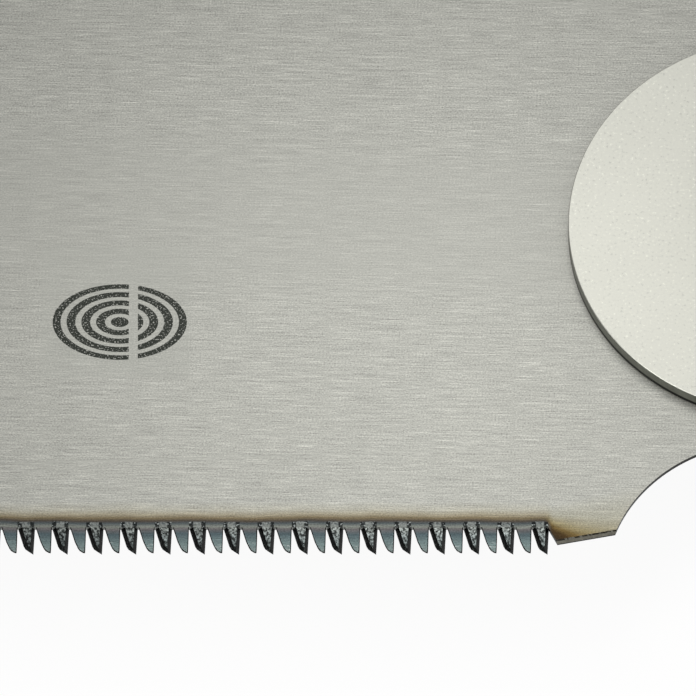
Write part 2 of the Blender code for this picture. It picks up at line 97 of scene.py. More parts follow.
def linear(red, green, blue):
    """A colour as seen on a screen, from 0 to 255, in the linear values that shaders take."""
    values = []
    for part in (red, green, blue):
        share = part / 255
        values.append(share / 12.92 if share <= 0.04045 else ((share + 0.055) / 1.055) ** 2.4)
    return tuple(values)


def colour(label, words, red, green, blue):
    """A colour that a user can change."""
    return FloatVectorProperty(
        name=label, description=words, default=linear(red, green, blue), subtype="COLOR", min=0.0, max=1.0
    )


class SawBladeSizes(bpy.types.PropertyGroup):
    """Sizes of the blade, measured from the clamp axis."""

    flare: turn("Flare", "Lean of each toothed edge to the middle line", 2.5)
    tip_line: length("Tip line", "Distance from the clamp axis to a line of tooth tips", 32.66)
    root_depth: length("Root depth", "Depth of the crosscut roots under the tip line", 2.62)
    pitch: length("Crosscut pitch", "Distance between crosscut teeth", 1.5)
    tooth_pairs: IntProperty(name="Tooth pairs", description="Pairs of crosscut teeth", default=80, min=1)
    heel_root: length("Heel root", "From the clamp axis to the last root, along the edge", 21.4)
    heel_front: length("Heel front", "From the clamp axis to the front of the heel", 20.6)
    heel_depth: length("Heel depth", "Depth of the heel's front corner under the tip line", 1.06)
    heel_slope: turn("Heel slope", "Lean of the untoothed heel to the tip line", 11.3)
    heel_bevel: length("Heel bevel", "Width of the bevel along the heel", 0.3)
    scallop: length("Scallop radius", "Radius of the notch beside the neck", 14.3)
    scallop_lean: turn("Scallop lean", "Lean of the notch's centre towards the toe", 0.86)
    tongue: length("Tongue radius", "Radius of the round tongue under the jaws", 21.2)
    slot: length("Slot half width", "Half the width of the slot around the screw", 2.8)
    toe_land: length("Toe land", "Untoothed end of the edge at the toe", 3.0)
    toe_round: length("Toe round", "Radius of the corners of the toe", 1.6)
    rip_heel: length("Rip pitch at heel", "Distance between rip teeth at the heel", 2.6)
    rip_toe: length("Rip pitch at toe", "Distance between rip teeth at the toe", 4.0)
    set_angle: turn("Set", "Lean of each crosscut tooth out of the blade", 0.6)


class SawJawSizes(bpy.types.PropertyGroup):
    """Sizes of the two clamping jaws."""

    nose: length("Nose radius", "Radius of the round nose", 19.54)
    neck: length("Neck half width", "Half the width of the neck", 9.0)
    fillet: length("Fillet", "Radius between nose and neck", 10.0)
    rim: length("Rim break", "Width of the broken edge of the stamped rim", 0.14)
    # The foot is a painted shadow: the shaded gap where a jaw meets the blade
    foot: length("Foot", "Height of the dark foot of the sheared edge", 0.38)


class SawHandleSizes(bpy.types.PropertyGroup):
    """Sizes of the handle's visible pieces."""

    front: length("Front width", "Width of the handle at its mouth", 29.0)
    waist: length("Waist width", "Least width of the grip", 27.6)
    butt: length("Butt width", "Width of the grip at its end", 34.0)
    waist_at: FloatProperty(name="Waist", description="Place of the waist along the grip", default=0.32)
    corner: length("Corner", "Radius of the handle's long edges", 9.0)
    butt_round: length("Butt round", "Round of the end of the grip", 5.0)
    seat: length("Cane seat", "Depth of the seat that the cane lies in", 2.1)
    cane_width: length("Cane width", "Width of the half-round cane", 2.14)
    cane_height: length("Cane height", "Height of the half-round cane", 1.9)
    cane_turns: IntProperty(name="Cane turns", description="Turns of cane", default=16, min=1)


class SawColours(bpy.types.PropertyGroup):
    """Colours of the saw."""

    blade: colour("Blade steel", "Ground steel of the blade", 184, 184, 177)
    jaw: colour("Jaw steel", "Bright satin steel of the jaws", 218, 218, 209)
    edge: colour("Heel bevel", "Ground bevel along the heel", 108, 106, 97)
    # The blade's edges: near black as a painted reflection of dark surroundings, not the steel's own colour
    wall: colour("Dull edge", "Dull edges of the blade", 44, 44, 42)
    # Ground facets: near black as a painted reflection of dark surroundings
    facet: colour("Ground facet", "Blackened ground facets of the teeth", 10, 13, 12)
    mark: colour("Mark", "Dark print on the blade", 66, 69, 64)
    zinc: colour("Zinc", "Plated fasteners", 196, 196, 188)
    spring: colour("Spring steel", "Hardened spring steel", 120, 118, 114)
    oxide: colour("Black oxide", "Blackened ferrule", 52, 52, 54)
    brass: colour("Brass", "Pins and eyelet", 224, 188, 116)
    wood_light: colour("Light wood", "Early wood", 214, 176, 124)
    wood_dark: colour("Dark wood", "Late wood", 172, 124, 74)
    cane: colour("Cane", "Skin of the cane", 206, 172, 112)
    floor: colour("Floor", "Floor and backdrop", 250, 250, 250)


def blade_sizes():
    """The blade's sizes as the user has set them."""
    return bpy.context.scene.saw_blade_sizes


def colours():
    """The saw's colours as the user has set them."""
    return bpy.context.scene.saw_colours


# Crosscut teeth: millimetres along the edge, out from the root line, and ground away across the sheet

REAR_GROUND_TOOTH = (
    (0.085, 0.0, 0.30),
    (0.31, 0.79, 0.30),
    (0.515, 1.51, 0.30),
    (0.765, 2.12, 0.26),
    (0.95, 2.42, 0.24),
    (1.20, 2.60, 0.22),
    (1.49, 2.68, 0.22),
    (1.52, 2.22, 0.25),
    (1.586, 0.0, 0.0),
)
FRONT_GROUND_TOOTH = (
    (1.60, 0.0, 0.31),
    (1.785, 0.66, 0.31),
    (1.93, 1.17, 0.31),
    (2.08, 1.70, 0.28),
    (2.24, 2.00, 0.16),
    (2.53, 2.23, 0.12),
    (2.93, 2.52, 0.29),
    (3.06, 0.0, 0.0),
)
EDGE_BREAK = 0.12 * MM
EDGE_BREAK_SLOPE = 1.2


# Shader writing


def wire_first(operation):
    """A method that puts its wire first in a maths node."""
    return lambda wire, other=0.0: wire.maths(operation, wire, other)


def wire_second(operation):
    """A method that puts its wire second in a maths node."""
    return lambda wire, other: wire.maths(operation, other, wire)


class Wire:
    """A shader socket that takes part in Python arithmetic."""

    __add__ = wire_first("ADD")
    __radd__ = wire_second("ADD")
    __sub__ = wire_first("SUBTRACT")
    __rsub__ = wire_second("SUBTRACT")
    __mul__ = wire_first("MULTIPLY")
    __rmul__ = wire_second("MULTIPLY")
    __truediv__ = wire_first("DIVIDE")
    __gt__ = wire_first("GREATER_THAN")
    __lt__ = wire_first("LESS_THAN")
    __pow__ = wire_first("POWER")
    __abs__ = wire_first("ABSOLUTE")
    at_least = wire_first("MAXIMUM")
    fraction = wire_first("FRACT")

    def __init__(self, finish, socket):
        self.finish = finish
        self.socket = socket

    def maths(self, operation, first, second):
        """A maths node on two values."""
        return self.finish.node("ShaderNodeMath", {"operation": operation}, {0: first, 1: second})

    def between(self, low, high):
        """0 below low, 1 above high and a smooth step between."""
        settings = {"interpolation_type": "SMOOTHSTEP"}
        sockets = {"Value": self, "From Min": low, "From Max": high}
        return self.finish.node("ShaderNodeMapRange", settings, sockets)

    def below(self, low, high):
        """1 below low, 0 above high and a smooth step between."""
        return 1.0 - self.between(low, high)


class Finish:
    """A surface finish that is written node by node."""

    def __init__(self, owner, shader="Principled BSDF"):
        self.owner = owner
        self.owner.use_nodes = True
        self.tree = self.owner.node_tree
        self.shader = self.tree.nodes[shader]

    def node(self, kind, settings=None, sockets=None, output=0):
        """A node with its settings made first, then its sockets set or linked."""
        made = self.tree.nodes.new(kind)
        for key, value in (settings or {}).items():
            if key == "stops":
                self.set_stops(made.color_ramp, value)
            else:
                setattr(made, key, value)
        for key, value in (sockets or {}).items():
            self.feed(made.inputs[key], value)
        return Wire(self, made.outputs[output])

    def set_stops(self, ramp, stops):
        """Put the stops of a colour ramp at their places."""
        while len(ramp.elements) < len(stops):
            ramp.elements.new(1.0)
        for element, (place, shade) in zip(ramp.elements, stops):
            element.position = place
            element.color = (*shade, 1.0)

    def feed(self, socket, value):
        """Link a wire to a socket, or set the socket to a value."""
        if isinstance(value, Wire):
            self.tree.links.new(value.socket, socket)
        elif socket.type == "RGBA" and len(value) == 3:
            socket.default_value = (*value, 1.0)
        else:
            socket.default_value = value

    def surface(self, **sockets):
        """Set or link the surface shader's sockets, with underscores for spaces, and give its owner."""
        for key, value in sockets.items():
            self.feed(self.shader.inputs[key.replace("_", " ").title()], value)
        return self.owner

    def place(self):
        """The point on the piece, in its own frame."""
        return self.node("ShaderNodeTexCoord", output="Object")

    def axes(self, point):
        """X, Y and Z of a point."""
        split = self.node("ShaderNodeSeparateXYZ", sockets={0: point})
        return [Wire(self, split.socket.node.outputs[axis]) for axis in range(3)]

    def noise(self, point, scale, detail=3.0, roughness=0.55):
        """Cloudy noise, with a scale for each axis."""
        scaled = self.node("ShaderNodeMapping", sockets={"Vector": point, "Scale": scale})
        wanted = {"Vector": scaled, "Scale": 1.0, "Detail": detail, "Roughness": roughness}
        return self.node("ShaderNodeTexNoise", sockets=wanted)

    def mix(self, share, first, second, blend="MIX"):
        """A blend of two colours."""
        settings = {"data_type": "RGBA", "blend_type": blend}
        return self.node("ShaderNodeMix", settings, {0: share, 6: first, 7: second}, output=2)

    def shade(self, value, base):
        """A colour made lighter or darker by a value around 1."""
        grey = self.node("ShaderNodeCombineColor", sockets={0: value, 1: value, 2: value})
        return self.mix(1.0, base, grey, "MULTIPLY")

    def bump(self, height, strength, distance):
        """A surface normal roughened by a height."""
        sockets = {"Strength": strength, "Distance": distance, "Height": height}
        return self.node("ShaderNodeBump", sockets=sockets)


# Finishes

# Heat tint by millimetres in from the tip line: at the teeth, at the heel and on a tooth's scuffed face
TINT = (
    (0.0, (140, 149, 146)),
    (1.0, (122, 138, 137)),
    (2.1, (86, 100, 104)),
    (2.6, (110, 107, 107)),
    (2.85, (132, 136, 129)),
    (3.2, (84, 91, 93)),
    (3.45, (83, 76, 68)),
    (3.75, (128, 116, 92)),
    (4.1, (164, 157, 137)),
    (4.6, (182, 180, 168)),
)
HEEL_TINT = (
    (2.6, (60, 50, 40)),
    (3.3, (78, 62, 40)),
    (3.66, (119, 101, 64)),
    (4.0, (154, 144, 112)),
    (4.6, (176, 174, 160)),
)
SCUFFED = (
    (0.0, (44, 48, 47)),
    (0.6, (48, 52, 50)),
    (1.0, (66, 71, 70)),
    (1.9, (84, 89, 88)),
    (2.85, (94, 97, 94)),
    (3.15, (88, 92, 92)),
)
TINT_REACH = 6.0
TINT_END = 5.4
TINT_LINE = 32.84
HEEL_TINT_CENTRE = 3.66
HEEL_TINT_DROP = 0.5
HEEL_TINT_FALL = 0.45
HEEL_TINT_SPREAD = 0.42

# Burrs: places within a pair of teeth, depth under the tip line, and where the row of teeth ends
BURR_PLACES = (0.58, 0.94)
RUBBED_PLACE = 0.76
BURR_DEPTH = 2.98
BURR_END = 0.15
HEEL_BURR_HEIGHT = 0.11 * MM

# Lean of the ground lines to the middle line
GROUND_LEAN = math.radians(1.25)

# Printed rings on a frosted field: millimetres ahead of the clamp axis and out from the middle line
FIELD_PLACE = (59.4, 8.0)
FIELD_HALF = (6.4, 6.6)
FIELD_FADE = 0.3
FIELD_SHARE = 0.30
RING_PLACE = (59.0, 9.0)
RING_SQUASH = 2.3
RING_STEP = 1.3
RING_SHARE = 0.6
RING_REACH = 5.9
BAR_PLACE = 1.2
BAR_HALF = 0.4

# Growth layers of the wood
LAYERS_PER_METRE = 520.0
LAYER_DRIFT = 3.0
LAYER_SWAY = 7.0


def start_finish(name):
    """A new finish, and the point on the piece that it is worked out from."""
    finish = Finish(bpy.data.materials.new(name))
    return finish, finish.place()


def tint_ramp(finish, stops, distance, ground=None):
    """Colours by millimetres in from the tip line, ending in the ground steel if one is given."""
    shades = [(place / TINT_REACH, linear(*shade)) for place, shade in stops]
    if ground:
        shades.append((TINT_END / TINT_REACH, ground))
    return finish.node("ShaderNodeValToRGB", {"stops": shades}, {0: distance / TINT_REACH})


def edge_coordinates(finish, point):
    """Millimetres along the nearer toothed edge from the clamp axis, and out from the middle line."""
    flare = blade_sizes().flare
    x, y, _ = finish.axes(point)
    ahead = (x - CLAMP_X) * (1 / MM)
    across = abs(y) * (1 / MM)
    along = ahead * math.cos(flare) - across * math.sin(flare)
    out = ahead * math.sin(flare) + across * math.cos(flare)
    return along, out


def heat_tint(finish, inwards, past_teeth):
    """Tint of the hardened teeth, which falls away and spreads along the untoothed heel."""
    ground = tuple(colours().blade)
    tint = tint_ramp(finish, TINT, inwards, ground)
    behind = past_teeth.at_least(0.0)
    fallen = inwards + past_teeth.between(-0.6, 0.6) * HEEL_TINT_DROP + behind * HEEL_TINT_FALL
    spread = (fallen - HEEL_TINT_CENTRE) / (1.0 + behind * HEEL_TINT_SPREAD) + HEEL_TINT_CENTRE
    heel = tint_ramp(finish, HEEL_TINT, spread, ground)
    return finish.mix(past_teeth.between(-0.4, 0.4), tint, heel)


def root_burrs(finish, point, tint, inwards, past_teeth, near_side):
    """Burrs that the file raised at each root, rubbed steel between them, and nicks near some tips."""
    place = (past_teeth / (2 * blade_sizes().pitch / MM)).fraction()
    first, second = (abs(place - burr).below(0.05, 0.08) for burr in BURR_PLACES)
    level = abs(inwards - BURR_DEPTH).below(0.28, 0.44) * (past_teeth < BURR_END) * near_side
    specks = finish.noise(point, (5200, 4600, 1), 1.0, 0.6)
    burr = finish.mix(specks.between(0.56, 0.66), linear(16, 20, 21), linear(170, 176, 174))
    rubbed = abs(place - RUBBED_PLACE).below(0.10, 0.16) * level
    tint = finish.mix(rubbed * specks.between(0.34, 0.60), tint, linear(136, 140, 137))
    tint = finish.mix(first.at_least(second) * level * 0.85, tint, burr)
    some_teeth = finish.noise(point, (330, 0, 0), 1.0).between(0.46, 0.54)
    nicks = finish.noise(point, (1100, 5600, 1), 2.0, 0.6).between(0.56, 0.64)
    nicks = nicks * some_teeth * inwards.below(1.1, 1.7)
    return finish.mix(nicks * 0.7, tint, linear(190, 196, 193))


def ground_lines(finish, point, y):
    """Fine and broad lines of the grinding, and their contrast, which is less near the middle line."""
    way = finish.node("ShaderNodeMapping", sockets={"Vector": point, "Rotation": (0.0, 0.0, -GROUND_LEAN)})
    fine = finish.noise(way, (420, 17000, 1), 2.0, 0.6)
    lines = finish.noise(way, (120, 10000, 1), 2.0, 0.6)
    broad = finish.noise(way, (90, 3200, 1), 3.0, 0.5)
    fleck = finish.noise(point, (6500, 9000, 1), 1.0, 0.6)
    scratch = finish.noise(way, (300, 15000, 1), 1.0).between(0.62, 0.74)
    streaks = (fine - 0.5) * 0.95 + (lines - 0.5) * 0.55 + (broad - 0.5) * 0.1
    streaks = streaks + (fleck - 0.5) + scratch * 0.4
    keen = 0.7 + abs(y * (1 / MM)).between(4.0, 11.0) * 0.45
    return fine, broad, streaks * keen


def printed_rings(finish, point, base, along, out, side):
    """Growth rings that a straight bar divides, printed on a frosted field; gives the field as well."""
    east = abs(along + FIELD_PLACE[0]).below(FIELD_HALF[0], FIELD_HALF[0] + FIELD_FADE)
    north = abs(out - FIELD_PLACE[1]).below(FIELD_HALF[1], FIELD_HALF[1] + FIELD_FADE)
    field = east * north * side
    base = finish.mix(field * FIELD_SHARE, base, linear(196, 197, 190))
    ring_x = along + RING_PLACE[0]
    ring_y = out - RING_PLACE[1]
    radius = (ring_x * ring_x + ring_y * ring_y * RING_SQUASH) ** 0.5
    rings = (radius / RING_STEP).fraction() < RING_SHARE
    rings = rings * (radius < RING_REACH) * (abs(ring_x - BAR_PLACE) > BAR_HALF)
    dots = finish.noise(point, (7000, 7000, 1), 1.0).between(0.30, 0.44)
    return finish.mix(rings * side * dots, base, tuple(colours().mark)), field


def blade_finish():
    """Ground steel with lines along the blade, heat tint at the teeth and printed rings."""
    finish, point = start_finish("blade_steel")
    along, out = edge_coordinates(finish, point)
    _, y, height = finish.axes(point)
    near_side = y < 0.0
    waver = finish.noise(point, (220, 220, 0), 2.0)
    inwards = TINT_LINE - out + (waver - 0.5) * 0.5
    past_teeth = along + blade_sizes().heel_root / MM
    tint = heat_tint(finish, inwards, past_teeth)
    tint = root_burrs(finish, point, tint, inwards, past_teeth, near_side)
    fine, broad, streaks = ground_lines(finish, point, y)
    base = finish.shade(1.0 + streaks, tint)
    base, field = printed_rings(finish, point, base, along, out, near_side * (height > 0.0))
    rough = 0.60 + (fine - 0.5) * 0.16 + field * 0.06
    normal = finish.bump(fine * 0.7 + broad * 0.3, 1.0, 0.012 * MM)
    return finish.surface(base_color=base, metallic=1.0, roughness=rough, normal=normal)


def facet_finish(name, shade, pale_chips):
    """Ground facets of the teeth, near black as a painted reflection of dark surroundings, with paler
    scratches and chips.
    """
    finish, point = start_finish(name)
    lines = finish.noise(point, (9000, 1200, 2500), 3.0)
    chips = finish.noise(point, (4200, 3600, 3000), 3.0, 0.65)
    worn = chips.between(0.50, 0.68) * pale_chips
    base = finish.mix(worn, finish.shade(0.5 + lines, shade), linear(112, 116, 114))
    return finish.surface(base_color=base, metallic=1.0, roughness=0.3 + lines * 0.2)


def tooth_face_finish():
    """Scuffed front face of a tooth that is ground from the front: pale at its root, dark at its tip."""
    finish, point = start_finish("tooth_face")
    _, out = edge_coordinates(finish, point)
    tone = tint_ramp(finish, SCUFFED, TINT_LINE - out)
    scuffs = finish.noise(point, (4200, 3200, 1), 2.0, 0.7)
    worn = 0.22 + scuffs.between(0.42, 0.58) * 1.75 + scuffs.between(0.58, 0.68) * 1.6
    base = finish.shade(worn, tone)
    return finish.surface(base_color=base, metallic=1.0, roughness=0.3 + scuffs * 0.2)


def heel_finish():
    """Bevel along the heel: pale and mottled, with a broken dark burr along its upper side."""
    finish, point = start_finish("heel_bevel")
    mottle = finish.noise(point, (2600, 2600, 3000), 3.0, 0.6)
    broken = finish.noise(point, (2300, 2300, 200), 2.0)
    height = finish.axes(point)[2]
    burr = (height > BLADE_HIGH - HEEL_BURR_HEIGHT) * broken.between(0.40, 0.50)
    base = finish.shade(0.3 + mottle * 1.4, tuple(colours().edge))
    base = finish.mix(burr, base, linear(46, 44, 38))
    normal = finish.bump(mottle, 0.3, 0.03 * MM)
    return finish.surface(base_color=base, metallic=1.0, roughness=0.34 + mottle * 0.2, normal=normal)


def edge_finish(name, shade, foot=0.0):
    """Sheared sheet edge: mottled, and near black within a foot's height of the saw's middle plane, a painted
    shadow of the gap where a jaw meets the blade.
    """
    finish, point = start_finish(name)
    tear = finish.noise(point, (1500, 1500, 500), 3.0)
    grain = finish.noise(point, (4200, 4200, 1400), 2.0)
    base = finish.shade(0.62 + tear * 0.55 + (grain - 0.5) * 0.4, shade)
    height = abs(finish.axes(point)[2])
    # Painted shadow: near black up to the foot's height
    base = finish.mix(height < foot, base, linear(8, 8, 8))
    normal = finish.bump(tear * 0.5 + grain, 0.25, 0.03 * MM)
    return finish.surface(base_color=base, metallic=1.0, roughness=0.38 + grain * 0.2, normal=normal)


def satin_finish(name, shade, roughness, speckle):
    """Plated or tumbled metal: fine speckle with no direction."""
    finish, point = start_finish(name)
    fine = finish.noise(point, (3600, 3600, 3600), 2.0, 0.6)
    broad = finish.noise(point, (160, 160, 160), 3.0)
    specks = fine.between(0.60, 0.72) - (1.0 - fine).between(0.60, 0.72)
    base = finish.shade(1.0 + (fine - 0.5 + specks) * speckle + (broad - 0.5) * 0.06, shade)
    rough = roughness + (fine - 0.5) * 0.12
    normal = finish.bump(fine, 0.06, 0.03 * MM)
    return finish.surface(base_color=base, metallic=1.0, roughness=rough, normal=normal)


def wood_finish():
    """Straight-grained wood: growth layers along the handle, with fine pores."""
    finish, point = start_finish("handle_wood")
    sway = finish.noise(point, (7, 46, 46), 3.0)
    x, y, z = finish.axes(point)
    layer = (y * 0.85 + z * 0.5) * LAYERS_PER_METRE + x * LAYER_DRIFT + (sway - 0.5) * LAYER_SWAY
    layer = layer.fraction()
    strength = finish.noise(point, (14, 260, 260), 2.0)
    band = layer.between(0.15, 0.88) * layer.below(0.90, 1.0) * (0.35 + strength * 0.9)
    pores = finish.noise(point, (60, 2600, 2600), 3.0, 0.65)
    grain = band * 0.75 + (pores - 0.5) * 0.6
    base = finish.mix(grain.between(0.0, 1.0), tuple(colours().wood_light), tuple(colours().wood_dark))
    base = finish.shade(1.0 + (pores - 0.5) * 0.25, base)
    rough = 0.46 + (pores - 0.5) * 0.2
    normal = finish.bump(pores, 0.12, 0.08 * MM)
    return finish.surface(base_color=base, metallic=0.0, roughness=rough, normal=normal)


def cane_finish():
    """Skin of split cane: pale, glossy, with darker lines along each turn."""
    finish, point = start_finish("cane")
    streak = finish.noise(point, (1500, 120, 120), 3.0)
    broad = finish.noise(point, (420, 26, 26), 2.0)
    base = finish.shade(0.72 + streak * 0.34 + broad * 0.22, tuple(colours().cane))
    normal = finish.bump(streak, 0.15, 0.05 * MM)
    return finish.surface(base_color=base, metallic=0.0, roughness=0.32 + streak * 0.18, normal=normal)


# Modelling by hand

# Tolerances, in metres and radians
NEAR = 0.01 * MM
CUT_TOLERANCE = 1e-7
MERGE_DISTANCE = 1e-6
FLAT_ANGLE = math.radians(1.0)
RIM_ANGLE = 1.0


def deselect():
    """Nothing selected, in object mode."""
    if bpy.context.mode != "OBJECT":
        bpy.ops.object.mode_set(mode="OBJECT")
    bpy.ops.object.select_all(action="DESELECT")


def take(item):
    """Make one piece the selected and active one."""
    deselect()
    item.select_set(True)
    bpy.context.view_layer.objects.active = item


def settle(item):
    """Put a piece's place into its mesh, so that its object sits at the origin."""
    take(item)
    bpy.ops.object.transform_apply(location=True, rotation=True, scale=True)


def edit(item):
    """Go on with one piece in edit mode, with all of it selected."""
    take(item)
    bpy.ops.object.mode_set(mode="EDIT")
    bpy.ops.mesh.select_all(action="SELECT")


def leave_outwards():
    """Turn all faces outwards and leave edit mode."""
    bpy.ops.mesh.select_all(action="SELECT")
    bpy.ops.mesh.normals_make_consistent(inside=False)
    bpy.ops.object.mode_set(mode="OBJECT")


def named(item, name):
    """Give a piece and its mesh one name."""
    item.name = name
    item.data.name = name
    return item


def begin(name):
    """Name the new primitive and go on in edit mode with all of it selected."""
    item = named(bpy.context.object, name)
    settle(item)
    bpy.ops.object.mode_set(mode="EDIT")
    bpy.ops.mesh.select_mode(type="VERT")
    bpy.ops.mesh.select_all(action="SELECT")
    return item


def block(name, low, high):
    """A box between two corners, left in edit mode."""
    deselect()
    size = [high[axis] - low[axis] for axis in range(3)]
    centre = [(high[axis] + low[axis]) / 2 for axis in range(3)]
    bpy.ops.mesh.primitive_cube_add(size=1.0, location=centre, scale=size)
    return begin(name)


def rod(name, x, radius, low, high, sides):
    """A cylinder that stands along Z on the middle line, left in edit mode."""
    deselect()
    bpy.ops.mesh.primitive_cylinder_add(
        vertices=sides, radius=radius, depth=high - low, location=(x, 0.0, (low + high) / 2)
    )
    return begin(name)


def slice_off(spot, outwards):
    """Cut away all that lies beyond a plane, and close the cut."""
    bpy.ops.mesh.select_all(action="SELECT")
    square = Vector(outwards).normalized()
    bpy.ops.mesh.bisect(
        plane_co=spot, plane_no=square, threshold=CUT_TOLERANCE, use_fill=True, clear_outer=True
    )


def traced(name, outline, low, high):
    """A plate whose outline is traced by drawing one vertex from point to point."""
    deselect()
    bpy.ops.mesh.primitive_plane_add(size=MM, location=(outline[0][0], outline[0][1], low))
    item = begin(name)
    bpy.ops.mesh.merge(type="CENTER")
    for here, ahead in zip(outline, outline[1:]):
        step = (ahead[0] - here[0], ahead[1] - here[1], 0.0)
        bpy.ops.mesh.extrude_vertices_move(TRANSFORM_OT_translate={"value": step})
    bpy.ops.mesh.select_all(action="SELECT")
    bpy.ops.mesh.edge_face_add()
    bpy.ops.mesh.extrude_region_move(TRANSFORM_OT_translate={"value": (0.0, 0.0, high - low)})
    leave_outwards()
    if len(item.data.polygons) != len(outline) + 2:
        raise RuntimeError(f"{name}: the traced outline did not close")
    return item


def apply_modifier(item, kind, **settings):
    """Add a modifier with its settings and apply it."""
    take(item)
    added = item.modifiers.new(kind.title(), kind)
    for key, value in settings.items():
        setattr(added, key, value)
    bpy.ops.object.modifier_apply(modifier=added.name)


def cut_with(item, cutter):
    """Take the cutter's shape out of a piece and delete the cutter."""
    apply_modifier(item, "BOOLEAN", operation="DIFFERENCE", solver="EXACT", object=cutter)
    take(cutter)
    bpy.ops.object.delete()


def round_edges(item, width, steps, least_deg=40):
    """Round all edges that are sharper than an angle."""
    apply_modifier(
        item,
        "BEVEL",
        width=width,
        segments=steps,
        limit_method="ANGLE",
        angle_limit=math.radians(least_deg),
        use_clamp_overlap=True,
        harden_normals=False,
    )


def bevel_edges(item, chosen, width, clamp):
    """Break the edges of a piece that a test picks out."""
    edit(item)
    bpy.ops.mesh.select_mode(type="EDGE")
    bpy.ops.mesh.select_all(action="DESELECT")
    drawing = bmesh.from_edit_mesh(item.data)
    for line in drawing.edges:
        if chosen(line):
            line.select_set(True)
    bmesh.update_edit_mesh(item.data)
    bpy.ops.mesh.bevel(offset=width, segments=1, affect="EDGES", clamp_overlap=clamp)
    bpy.ops.object.mode_set(mode="OBJECT")


def break_rim(item, level, width):
    """Break the sharp edges that lie at a height."""

    def on_rim(line):
        """Whether a sharp edge lies at the height."""
        flat = all(abs(vertex.co.z - level) < NEAR for vertex in line.verts)
        return flat and line.calc_face_angle(0.0) > RIM_ANGLE

    bevel_edges(item, on_rim, width, True)


def smooth(item, degrees=32):
    """Smooth shading, apart from edges sharper than an angle, with large faces kept flat."""
    take(item)
    bpy.ops.object.shade_smooth_by_angle(angle=math.radians(degrees))
    apply_modifier(item, "WEIGHTED_NORMAL", keep_sharp=True, weight=100)


def joined(pieces, name):
    """Several pieces as one."""
    deselect()
    for piece in pieces:
        piece.select_set(True)
    bpy.context.view_layer.objects.active = pieces[0]
    bpy.ops.object.join()
    return named(bpy.context.object, name)


def dress(item, materials, chooser=None):
    """Give a piece its materials, and choose one for each face by its normal and centre."""
    item.data.materials.clear()
    for surface in materials:
        item.data.materials.append(surface)
    for face in item.data.polygons:
        face.material_index = chooser(face.normal, face.center) if chooser else 0


def finish_piece(item, body, slot, *nodes):
    """Settle a finished piece, tie it to its body and hide its solids; the slot is not used."""
    settle(item)
    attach(item, body)
    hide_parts(*nodes)


def softened(node, width, steps=2):
    """A copy of a solid with its loose triangles merged and its sharp edges rounded."""
    take(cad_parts[node])
    bpy.ops.object.duplicate()
    item = bpy.context.object
    item.parent = None
    item.name = f"{node}_piece"
    edit(item)
    bpy.ops.mesh.remove_doubles(threshold=MERGE_DISTANCE)
    bpy.ops.mesh.dissolve_limited(angle_limit=FLAT_ANGLE)
    bpy.ops.object.mode_set(mode="OBJECT")
    round_edges(item, width, steps)
    smooth(item)
    return item


# Outlines

# Depth of a rip tooth and place of its tip, in shares of its pitch
RIP_DEPTH = 0.62
RIP_TIP = 0.86
TOE_SWEEP = 85


def arc(centre, radius, start, end, step_deg=2.0):
    """Points along an arc between two angles in degrees, both ends included."""
    steps = max(2, math.ceil(abs(end - start) / step_deg))
    points = []
    for step in range(steps + 1):
        angle = math.radians(start + (end - start) * step / steps)
        points.append((centre[0] + radius * math.cos(angle), centre[1] + radius * math.sin(angle)))
    return points


def edge_point(along, depth, side):
    """A point by one toothed edge, along its tip line from the clamp axis and in from that line."""
    sizes = blade_sizes()
    out = sizes.tip_line - depth
    x = along * math.cos(sizes.flare) + out * math.sin(sizes.flare)
    y = out * math.cos(sizes.flare) - along * math.sin(sizes.flare)
    return (x, side * y)


def rip_row(sizes, toe_root):
    """Rip teeth as (along, depth) points from toe to heel."""
    span = toe_root - sizes.heel_root
    count = round(2 * span / (sizes.rip_heel + sizes.rip_toe))
    growth = (sizes.rip_heel - sizes.rip_toe) / (count - 1)
    pitches = [sizes.rip_toe + growth * tooth for tooth in range(count)]
    fit = span / sum(pitches)
    row = []
    root = -toe_root
    for pitch in pitches:
        row.append((root, pitch * fit * RIP_DEPTH))
        row.append((root + pitch * fit * RIP_TIP, 0.0))
        root += pitch * fit
    row.append((-sizes.heel_root, pitches[-1] * fit * RIP_DEPTH))
    return row


def blade_side(row, side, toe_root):
    """One side of the blade from the toe to the slot in the tongue."""
    sizes = blade_sizes()
    toe = edge_point(-toe_root - sizes.toe_land, sizes.heel_depth, side)
    centre = (toe[0] + sizes.toe_round, toe[1] - side * sizes.toe_round)
    points = arc(centre, sizes.toe_round, 180, 180 - side * TOE_SWEEP, 10)
    points.append(edge_point(-toe_root - sizes.heel_root + sizes.heel_front, sizes.heel_depth, side))
    points.extend(edge_point(along, depth, side) for along, depth in row)
    corner = Vector(edge_point(-sizes.heel_front, sizes.heel_depth, side))
    run = math.cos(sizes.heel_slope) * MM
    rise = math.sin(sizes.heel_slope) * MM
    ahead = Vector(edge_point(run - sizes.heel_front, sizes.heel_depth + rise, side))
    course = (ahead - corner).normalized()
    reach = sizes.tongue + sizes.scallop
    scallop = Vector((-reach * math.sin(sizes.scallop_lean), side * reach * math.cos(sizes.scallop_lean)))
    towards = scallop - corner
    halfway = course.dot(towards)
    offset = towards.length_squared - halfway**2
    meeting = corner + course * (halfway - math.sqrt(sizes.scallop**2 - offset))
    start = math.degrees(math.atan2(meeting.y - scallop.y, meeting.x - scallop.x))
    end = math.degrees(math.atan2(-scallop.y, -scallop.x))
    points.append(tuple(corner))
    points.extend(arc(scallop, sizes.scallop, start, end)[:-1])
    tongue_start = math.degrees(math.atan2(scallop.y, scallop.x))
    tongue_end = side * math.degrees(math.asin(sizes.slot / sizes.tongue))
    points.extend(arc((0.0, 0.0), sizes.tongue, tongue_start, tongue_end))
    return points


